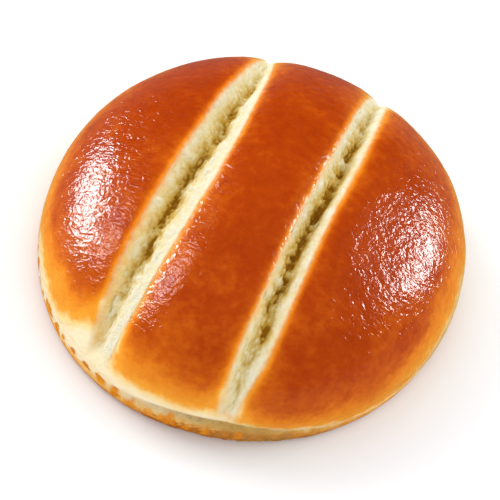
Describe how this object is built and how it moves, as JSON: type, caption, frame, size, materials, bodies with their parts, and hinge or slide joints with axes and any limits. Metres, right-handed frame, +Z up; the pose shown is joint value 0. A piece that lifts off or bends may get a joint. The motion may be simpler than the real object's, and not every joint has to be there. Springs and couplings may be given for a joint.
{
  "type": "bread roll",
  "caption": "Round glazed milk roll with deep parallel slashes across a domed crust, a pale flank and a flat sole.",
  "frame": {"origin": "middle of the flat sole, at the bottom of the roll's box", "axes": "+Z up through the crown, Y along the slashes with the front ends at -Y, X across the slashes"},
  "size_m": [0.1032, 0.1062, 0.041],
  "materials": {
    "crust": "egg-washed orange-brown crust, satin to glossy, cream crumb in the slashes"
  },
  "bodies": {
    "root": {"bread_roll": "crust"}
  },
  "joints": []
}
